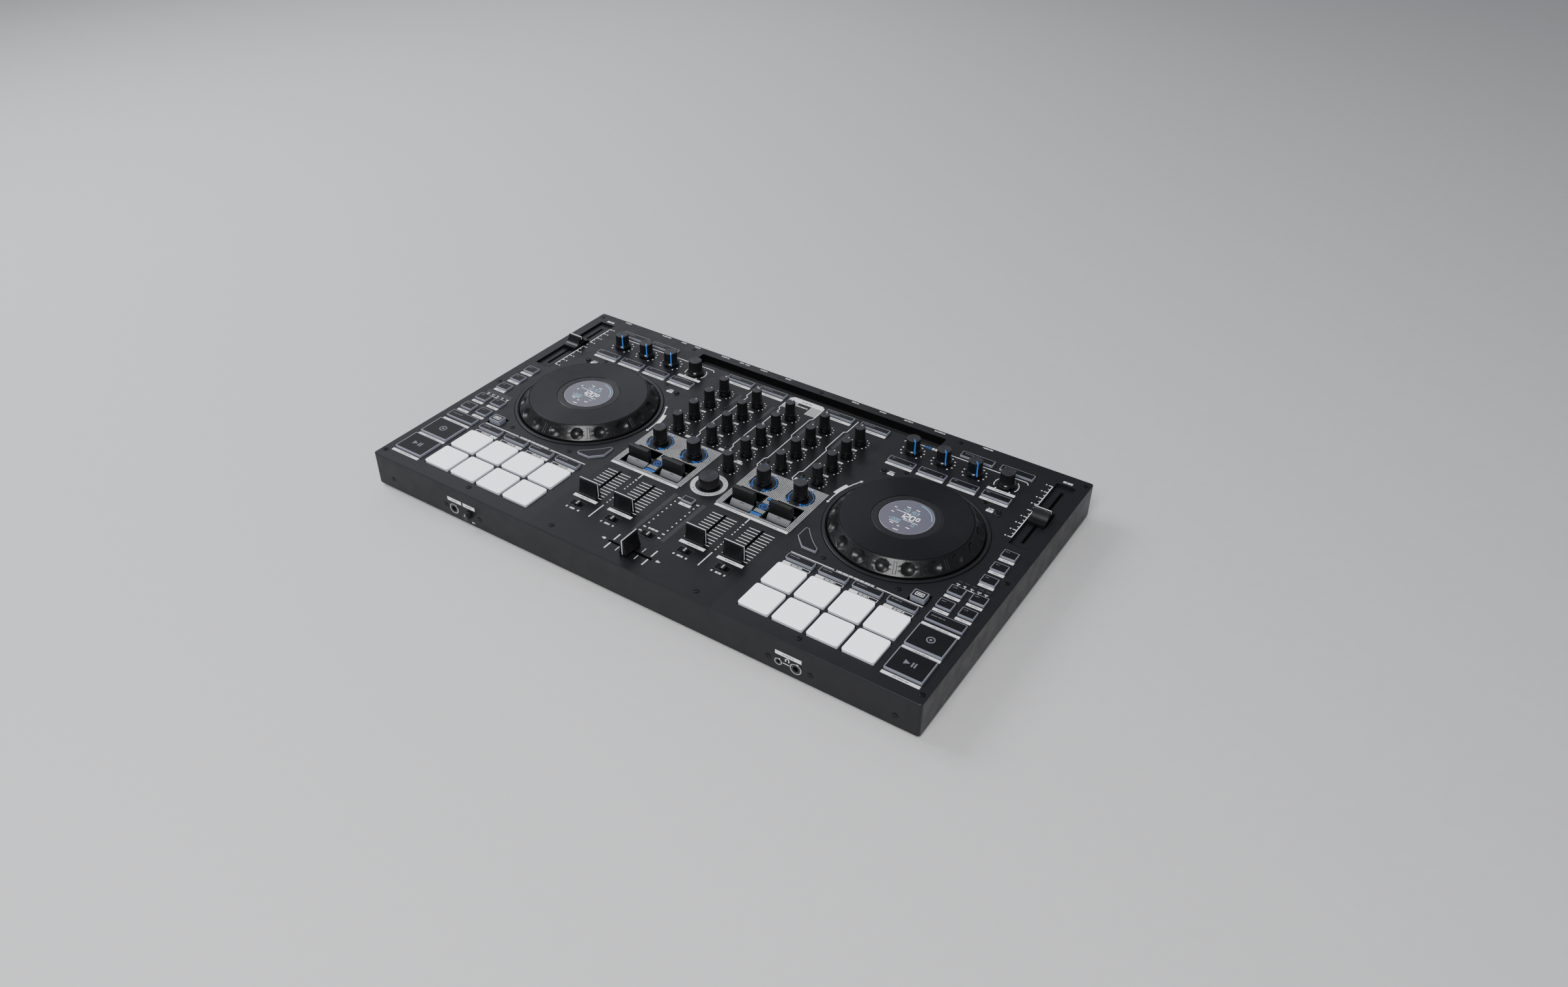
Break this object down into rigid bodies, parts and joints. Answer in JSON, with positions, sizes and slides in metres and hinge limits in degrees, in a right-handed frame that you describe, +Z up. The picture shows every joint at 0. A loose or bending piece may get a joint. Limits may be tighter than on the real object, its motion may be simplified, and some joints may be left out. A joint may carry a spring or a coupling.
{
  "type": "dj controller",
  "caption": "Flat steel DJ controller with a mixer between two decks: jog wheels with displays, pads, knobs, faders, effect paddles and a tablet slot.",
  "frame": {"origin": "middle of the footprint, on the surface the feet stand on", "axes": "+X to the player's right, +Y away from the player, +Z up"},
  "size_m": [0.712, 0.42, 0.068],
  "materials": {
    "case": "satin anthracite powder coat",
    "plate": "satin anthracite powder coat",
    "mixer_overlay": "darker satin printed zone of the plate",
    "print_white": "white screen print",
    "print_blue": "blue screen print",
    "board": "green solder mask",
    "button_mat": "translucent silicone",
    "key_face": "smoked face of a backlit key",
    "pad_face": "glowing white silicone pad",
    "lit_button": "translucent button body",
    "foot_rubber": "matt black rubber",
    "jog_platter": "black platter with a grooved top",
    "jog_display": "backlit display",
    "display_digit": "lit digits",
    "knob": "soft-touch black",
    "fader_cap": "satin black",
    "silver": "brushed",
    "chrome": "polished nickel",
    "screw": "black oxide",
    "lamp": "unlit lamp window",
    "dark_gap": "dark interior"
  },
  "bodies": {
    "root": {"bottom_case": "case", "top_plate": "plate", "main_board": "board", "button_mat": "button_mat", "foot_front_left": "foot_rubber", "foot_front_right": "foot_rubber", "foot_rear_left": "foot_rubber", "foot_rear_right": "foot_rubber"},
    "jog_wheel_left": {"jog_wheel_left": "jog_platter"},
    "jog_wheel_right": {"jog_wheel_right": "jog_platter"},
    "knob_gain_1": {"knob_gain_1": "knob"},
    "knob_gain_2": {"knob_gain_2": "knob"},
    "knob_gain_3": {"knob_gain_3": "knob"},
    "knob_gain_4": {"knob_gain_4": "knob"},
    "knob_high_1": {"knob_high_1": "knob"},
    "knob_high_2": {"knob_high_2": "knob"},
    "knob_high_3": {"knob_high_3": "knob"},
    "knob_high_4": {"knob_high_4": "knob"},
    "knob_mid_1": {"knob_mid_1": "knob"},
    "knob_mid_2": {"knob_mid_2": "knob"},
    "knob_mid_3": {"knob_mid_3": "knob"},
    "knob_mid_4": {"knob_mid_4": "knob"},
    "knob_low_1": {"knob_low_1": "knob"},
    "knob_low_2": {"knob_low_2": "knob"},
    "knob_low_3": {"knob_low_3": "knob"},
    "knob_low_4": {"knob_low_4": "knob"},
    "knob_filter_1": {"knob_filter_1": "knob"},
    "knob_filter_2": {"knob_filter_2": "knob"},
    "knob_filter_3": {"knob_filter_3": "knob"},
    "knob_filter_4": {"knob_filter_4": "knob"},
    "knob_master": {"knob_master": "knob"},
    "knob_booth": {"knob_booth": "knob"},
    "knob_cue_mix": {"knob_cue_mix": "knob"},
    "knob_phones": {"knob_phones": "knob"},
    "knob_sampler": {"knob_sampler": "knob"},
    "knob_fx_left_1": {"knob_fx_left_1": "knob"},
    "knob_fx_left_2": {"knob_fx_left_2": "knob"},
    "knob_fx_left_3": {"knob_fx_left_3": "knob"},
    "knob_fx_left_4": {"knob_fx_left_4": "knob"},
    "knob_fx_right_1": {"knob_fx_right_1": "knob"},
    "knob_fx_right_2": {"knob_fx_right_2": "knob"},
    "knob_fx_right_3": {"knob_fx_right_3": "knob"},
    "knob_fx_right_4": {"knob_fx_right_4": "knob"},
    "browse_encoder": {"browse_encoder": "knob"},
    "curve_knob": {"curve_knob": "knob"},
    "channel_fader_1": {"channel_fader_1": "fader_cap"},
    "channel_fader_2": {"channel_fader_2": "fader_cap"},
    "channel_fader_3": {"channel_fader_3": "fader_cap"},
    "channel_fader_4": {"channel_fader_4": "fader_cap"},
    "crossfader": {"crossfader": "fader_cap"},
    "tempo_fader_left": {"tempo_fader_left": "fader_cap"},
    "tempo_fader_right": {"tempo_fader_right": "fader_cap"},
    "fx_paddle_1": {"fx_paddle_1": "fader_cap"},
    "fx_paddle_2": {"fx_paddle_2": "fader_cap"},
    "fx_paddle_3": {"fx_paddle_3": "fader_cap"},
    "fx_paddle_4": {"fx_paddle_4": "fader_cap"},
    "play_button_left": {"play_button_left": "lit_button"},
    "cue_button_left": {"cue_button_left": "lit_button"},
    "play_button_right": {"play_button_right": "lit_button"},
    "cue_button_right": {"cue_button_right": "lit_button"}
  },
  "joints": [
    {"name": "jog_wheel_left_turn", "type": "hinge", "parent": "root", "child": "jog_wheel_left", "pos_m": [-0.2195, 0.015, 0.045], "axis": [0, 0, -1], "continuous": true},
    {"name": "jog_wheel_right_turn", "type": "hinge", "parent": "root", "child": "jog_wheel_right", "pos_m": [0.2195, 0.015, 0.045], "axis": [0, 0, -1], "continuous": true},
    {"name": "channel_fader_1_slide", "type": "slide", "parent": "root", "child": "channel_fader_1", "axis": [0, 1, 0], "range_m": [0, 0.05]},
    {"name": "channel_fader_2_slide", "type": "slide", "parent": "root", "child": "channel_fader_2", "axis": [0, 1, 0], "range_m": [0, 0.05]},
    {"name": "channel_fader_3_slide", "type": "slide", "parent": "root", "child": "channel_fader_3", "axis": [0, 1, 0], "range_m": [0, 0.05]},
    {"name": "channel_fader_4_slide", "type": "slide", "parent": "root", "child": "channel_fader_4", "axis": [0, 1, 0], "range_m": [0, 0.05]},
    {"name": "crossfader_slide", "type": "slide", "parent": "root", "child": "crossfader", "axis": [1, 0, 0], "range_m": [-0.0248, 0.0248]},
    {"name": "tempo_fader_left_slide", "type": "slide", "parent": "root", "child": "tempo_fader_left", "axis": [0, 1, 0], "range_m": [-0.051, 0.049]},
    {"name": "tempo_fader_right_slide", "type": "slide", "parent": "root", "child": "tempo_fader_right", "axis": [0, 1, 0], "range_m": [-0.045, 0.055]},
    {"name": "fx_paddle_1_turn", "type": "hinge", "parent": "root", "child": "fx_paddle_1", "pos_m": [-0.09692, -0.039, 0.036], "axis": [1, 0, 0], "range_deg": [-12, 12], "stiffness_Nm_per_rad": 0.05},
    {"name": "fx_paddle_2_turn", "type": "hinge", "parent": "root", "child": "fx_paddle_2", "pos_m": [-0.04846, -0.039, 0.036], "axis": [1, 0, 0], "range_deg": [-12, 12], "stiffness_Nm_per_rad": 0.05},
    {"name": "fx_paddle_3_turn", "type": "hinge", "parent": "root", "child": "fx_paddle_3", "pos_m": [0.04846, -0.039, 0.036], "axis": [1, 0, 0], "range_deg": [-12, 12], "stiffness_Nm_per_rad": 0.05},
    {"name": "fx_paddle_4_turn", "type": "hinge", "parent": "root", "child": "fx_paddle_4", "pos_m": [0.09692, -0.039, 0.036], "axis": [1, 0, 0], "range_deg": [-12, 12], "stiffness_Nm_per_rad": 0.05},
    {"name": "play_button_left_slide", "type": "slide", "parent": "root", "child": "play_button_left", "axis": [0, 0, -1], "range_m": [0, 0.0012], "stiffness_N_per_m": 600},
    {"name": "play_button_right_slide", "type": "slide", "parent": "root", "child": "play_button_right", "axis": [0, 0, -1], "range_m": [0, 0.0012], "stiffness_N_per_m": 600},
    {"name": "cue_button_left_slide", "type": "slide", "parent": "root", "child": "cue_button_left", "axis": [0, 0, -1], "range_m": [0, 0.0012], "stiffness_N_per_m": 600},
    {"name": "cue_button_right_slide", "type": "slide", "parent": "root", "child": "cue_button_right", "axis": [0, 0, -1], "range_m": [0, 0.0012], "stiffness_N_per_m": 600},
    {"name": "curve_knob_turn", "type": "hinge", "parent": "root", "child": "curve_knob", "pos_m": [-0.21, -0.204, 0.017], "axis": [0, 1, 0], "range_deg": [-60, 60]},
    {"name": "browse_encoder_turn", "type": "hinge", "parent": "root", "child": "browse_encoder", "pos_m": [0, -0.039, 0.045], "axis": [0, 0, -1], "continuous": true},
    {"name": "knob_fx_left_1_turn", "type": "hinge", "parent": "root", "child": "knob_fx_left_1", "pos_m": [-0.2752, 0.1467, 0.045], "axis": [0, 0, -1], "range_deg": [-280, 0]},
    {"name": "knob_fx_left_2_turn", "type": "hinge", "parent": "root", "child": "knob_fx_left_2", "pos_m": [-0.2356, 0.1467, 0.045], "axis": [0, 0, -1], "range_deg": [-280, 0]},
    {"name": "knob_fx_left_3_turn", "type": "hinge", "parent": "root", "child": "knob_fx_left_3", "pos_m": [-0.196, 0.1467, 0.045], "axis": [0, 0, -1], "range_deg": [-280, 0]},
    {"name": "knob_fx_left_4_turn", "type": "hinge", "parent": "root", "child": "knob_fx_left_4", "pos_m": [-0.1564, 0.1467, 0.045], "axis": [0, 0, -1], "continuous": true},
    {"name": "knob_fx_right_1_turn", "type": "hinge", "parent": "root", "child": "knob_fx_right_1", "pos_m": [0.1564, 0.1467, 0.045], "axis": [0, 0, -1], "range_deg": [-280, 0]},
    {"name": "knob_fx_right_2_turn", "type": "hinge", "parent": "root", "child": "knob_fx_right_2", "pos_m": [0.196, 0.1467, 0.045], "axis": [0, 0, -1], "range_deg": [-280, 0]},
    {"name": "knob_fx_right_3_turn", "type": "hinge", "parent": "root", "child": "knob_fx_right_3", "pos_m": [0.2356, 0.1467, 0.045], "axis": [0, 0, -1], "range_deg": [-280, 0]},
    {"name": "knob_fx_right_4_turn", "type": "hinge", "parent": "root", "child": "knob_fx_right_4", "pos_m": [0.2752, 0.1467, 0.045], "axis": [0, 0, -1], "continuous": true},
    {"name": "knob_filter_1_turn", "type": "hinge", "parent": "root", "child": "knob_filter_1", "pos_m": [-0.09692, -0.002, 0.045], "axis": [0, 0, -1], "range_deg": [-140, 140]},
    {"name": "knob_filter_2_turn", "type": "hinge", "parent": "root", "child": "knob_filter_2", "pos_m": [-0.04846, -0.002, 0.045], "axis": [0, 0, -1], "range_deg": [-140, 140]},
    {"name": "knob_filter_3_turn", "type": "hinge", "parent": "root", "child": "knob_filter_3", "pos_m": [0.04846, -0.002, 0.045], "axis": [0, 0, -1], "range_deg": [-140, 140]},
    {"name": "knob_filter_4_turn", "type": "hinge", "parent": "root", "child": "knob_filter_4", "pos_m": [0.09692, -0.002, 0.045], "axis": [0, 0, -1], "range_deg": [-140, 140]},
    {"name": "knob_sampler_turn", "type": "hinge", "parent": "root", "child": "knob_sampler", "pos_m": [0, -0.002, 0.045], "axis": [0, 0, -1], "range_deg": [-140, 140]},
    {"name": "knob_gain_1_turn", "type": "hinge", "parent": "root", "child": "knob_gain_1", "pos_m": [-0.09692, 0.1264, 0.045], "axis": [0, 0, -1], "range_deg": [-140, 140]},
    {"name": "knob_gain_2_turn", "type": "hinge", "parent": "root", "child": "knob_gain_2", "pos_m": [-0.04846, 0.1264, 0.045], "axis": [0, 0, -1], "range_deg": [-140, 140]},
    {"name": "knob_gain_3_turn", "type": "hinge", "parent": "root", "child": "knob_gain_3", "pos_m": [0.04846, 0.1264, 0.045], "axis": [0, 0, -1], "range_deg": [-140, 140]},
    {"name": "knob_gain_4_turn", "type": "hinge", "parent": "root", "child": "knob_gain_4", "pos_m": [0.09692, 0.1264, 0.045], "axis": [0, 0, -1], "range_deg": [-140, 140]},
    {"name": "knob_high_1_turn", "type": "hinge", "parent": "root", "child": "knob_high_1", "pos_m": [-0.09692, 0.0951, 0.045], "axis": [0, 0, -1], "range_deg": [-140, 140]},
    {"name": "knob_high_2_turn", "type": "hinge", "parent": "root", "child": "knob_high_2", "pos_m": [-0.04846, 0.0951, 0.045], "axis": [0, 0, -1], "range_deg": [-140, 140]},
    {"name": "knob_high_3_turn", "type": "hinge", "parent": "root", "child": "knob_high_3", "pos_m": [0.04846, 0.0951, 0.045], "axis": [0, 0, -1], "range_deg": [-140, 140]},
    {"name": "knob_high_4_turn", "type": "hinge", "parent": "root", "child": "knob_high_4", "pos_m": [0.09692, 0.0951, 0.045], "axis": [0, 0, -1], "range_deg": [-140, 140]},
    {"name": "knob_mid_1_turn", "type": "hinge", "parent": "root", "child": "knob_mid_1", "pos_m": [-0.09692, 0.0638, 0.045], "axis": [0, 0, -1], "range_deg": [-140, 140]},
    {"name": "knob_mid_2_turn", "type": "hinge", "parent": "root", "child": "knob_mid_2", "pos_m": [-0.04846, 0.0638, 0.045], "axis": [0, 0, -1], "range_deg": [-140, 140]},
    {"name": "knob_mid_3_turn", "type": "hinge", "parent": "root", "child": "knob_mid_3", "pos_m": [0.04846, 0.0638, 0.045], "axis": [0, 0, -1], "range_deg": [-140, 140]},
    {"name": "knob_mid_4_turn", "type": "hinge", "parent": "root", "child": "knob_mid_4", "pos_m": [0.09692, 0.0638, 0.045], "axis": [0, 0, -1], "range_deg": [-140, 140]},
    {"name": "knob_low_1_turn", "type": "hinge", "parent": "root", "child": "knob_low_1", "pos_m": [-0.09692, 0.0325, 0.045], "axis": [0, 0, -1], "range_deg": [-140, 140]},
    {"name": "knob_low_2_turn", "type": "hinge", "parent": "root", "child": "knob_low_2", "pos_m": [-0.04846, 0.0325, 0.045], "axis": [0, 0, -1], "range_deg": [-140, 140]},
    {"name": "knob_low_3_turn", "type": "hinge", "parent": "root", "child": "knob_low_3", "pos_m": [0.04846, 0.0325, 0.045], "axis": [0, 0, -1], "range_deg": [-140, 140]},
    {"name": "knob_low_4_turn", "type": "hinge", "parent": "root", "child": "knob_low_4", "pos_m": [0.09692, 0.0325, 0.045], "axis": [0, 0, -1], "range_deg": [-140, 140]},
    {"name": "knob_master_turn", "type": "hinge", "parent": "root", "child": "knob_master", "pos_m": [0, 0.1264, 0.045], "axis": [0, 0, -1], "range_deg": [-140, 140]},
    {"name": "knob_booth_turn", "type": "hinge", "parent": "root", "child": "knob_booth", "pos_m": [0, 0.0951, 0.045], "axis": [0, 0, -1], "range_deg": [-140, 140]},
    {"name": "knob_cue_mix_turn", "type": "hinge", "parent": "root", "child": "knob_cue_mix", "pos_m": [0, 0.0638, 0.045], "axis": [0, 0, -1], "range_deg": [-140, 140]},
    {"name": "knob_phones_turn", "type": "hinge", "parent": "root", "child": "knob_phones", "pos_m": [0, 0.0325, 0.045], "axis": [0, 0, -1], "range_deg": [-140, 140]}
  ]
}
